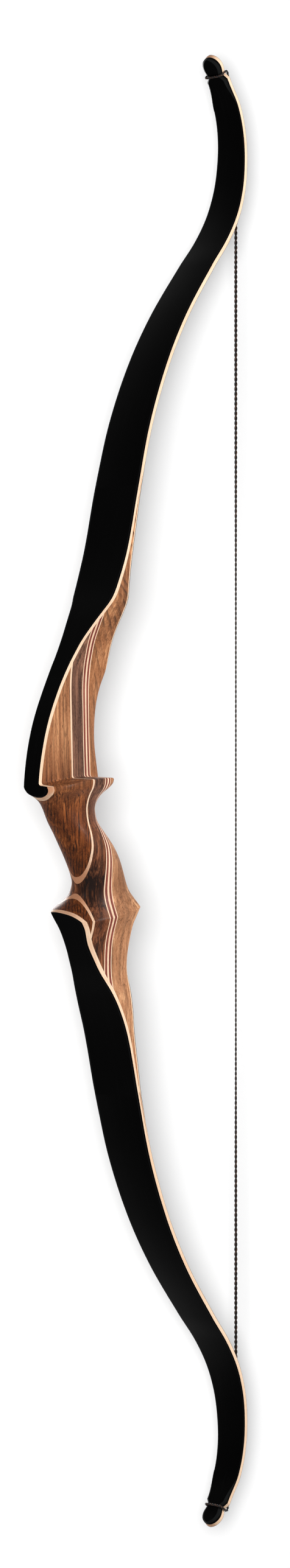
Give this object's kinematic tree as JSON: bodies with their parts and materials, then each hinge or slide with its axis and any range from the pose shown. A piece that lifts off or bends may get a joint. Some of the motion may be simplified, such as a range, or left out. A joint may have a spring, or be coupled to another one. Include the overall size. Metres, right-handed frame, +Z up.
{
  "type": "recurve bow",
  "caption": "Strung one-piece laminated wooden recurve bow with carved grip, arrow shelf, glass-faced limbs that flex and a twisted string that draws.",
  "frame": {"origin": "deepest point of the grip's throat, on the middle plane, on the side that faces the archer", "axes": "+X towards the archer and the string, -Y the side the arrow passes on, +Z up along the upper limb"},
  "size_m": [0.2679, 0.0482, 1.269],
  "materials": {
    "black_glass": "gloss",
    "tip_black": "gloss with ground bevels",
    "pale_wood": "clear lacquer",
    "red_wood": "clear lacquer",
    "front_wood": "clear lacquer",
    "middle_wood": "clear lacquer",
    "rear_wood": "clear lacquer",
    "string": "waxed twist"
  },
  "bodies": {
    "riser": {"riser_front_block_upper": "front_wood", "riser_front_block_lower": "front_wood", "accent_strip_upper": "pale_wood", "accent_strip_lower": "pale_wood", "riser_middle_block": "middle_wood", "stripe_front_pale": "pale_wood", "stripe_front_red": "red_wood", "stripe_centre_pale": "pale_wood", "stripe_rear_red": "red_wood", "stripe_rear_pale_upper": "pale_wood", "stripe_rear_pale_lower": "pale_wood", "riser_rear_block_upper": "rear_wood", "riser_rear_block_lower": "rear_wood", "upper_root_back_glass": "black_glass", "upper_root_back_core": "pale_wood", "upper_root_belly_core": "pale_wood", "upper_root_belly_glass": "black_glass", "lower_root_back_glass": "black_glass", "lower_root_back_core": "pale_wood", "lower_root_belly_core": "pale_wood", "lower_root_belly_glass": "black_glass"},
    "upper_limb": {"upper_limb_back_glass": "black_glass", "upper_limb_back_core": "pale_wood", "upper_limb_belly_core": "pale_wood", "upper_limb_belly_glass": "black_glass", "upper_tip_overlay": "tip_black", "upper_string_loop": "string"},
    "lower_limb": {"lower_limb_back_glass": "black_glass", "lower_limb_back_core": "pale_wood", "lower_limb_belly_core": "pale_wood", "lower_limb_belly_glass": "black_glass", "lower_tip_overlay": "tip_black", "lower_string_loop": "string"},
    "upper_end": {"upper_string_end": "string"},
    "upper_half": {"upper_string": "string"},
    "lower_end": {"lower_string_end": "string"},
    "lower_half": {"lower_string": "string"}
  },
  "joints": [
    {"name": "upper_limb_flex", "type": "hinge", "parent": "riser", "child": "upper_limb", "pos_m": [0.05061, 0, 0.31351], "axis": [0, 1, 0], "range_deg": [0, 29.7], "stiffness_Nm_per_rad": 110, "springref_deg": -3.44, "deforming": ["upper_string_end", "upper_string"]},
    {"name": "lower_limb_flex", "type": "hinge", "parent": "riser", "child": "lower_limb", "pos_m": [0.05061, 0, -0.28451], "axis": [0, -1, 0], "range_deg": [0, 29.7], "stiffness_Nm_per_rad": 110, "springref_deg": -3.44, "deforming": ["lower_string_end", "lower_string"]},
    {"name": "upper_end_lift", "type": "hinge", "parent": "upper_limb", "child": "upper_end", "pos_m": [0.17238, 0, 0.63425], "axis": [0, 1, 0], "range_deg": [-41, 0], "deforming": ["upper_string_end"]},
    {"name": "upper_string_bend", "type": "hinge", "parent": "upper_end", "child": "upper_half", "pos_m": [0.2002, 0, 0.56978], "axis": [0, 1, 0], "range_deg": [-24, 0], "deforming": ["upper_string"]},
    {"name": "lower_end_lift", "type": "hinge", "parent": "lower_limb", "child": "lower_end", "pos_m": [0.17238, 0, -0.60525], "axis": [0, -1, 0], "range_deg": [-41, 0], "deforming": ["lower_string_end"]},
    {"name": "lower_string_bend", "type": "hinge", "parent": "lower_end", "child": "lower_half", "pos_m": [0.2002, 0, -0.54078], "axis": [0, -1, 0], "range_deg": [-24, 0], "deforming": ["lower_string"]}
  ],
  "couplings": [
    {"joint": "lower_limb_flex", "follows": "upper_limb_flex", "ratio": 1},
    {"joint": "upper_end_lift", "follows": "upper_limb_flex", "ratio": -1.3662},
    {"joint": "upper_string_bend", "follows": "upper_limb_flex", "ratio": -0.78558},
    {"joint": "lower_end_lift", "follows": "upper_limb_flex", "ratio": -1.3662},
    {"joint": "lower_string_bend", "follows": "upper_limb_flex", "ratio": -0.78558}
  ]
}
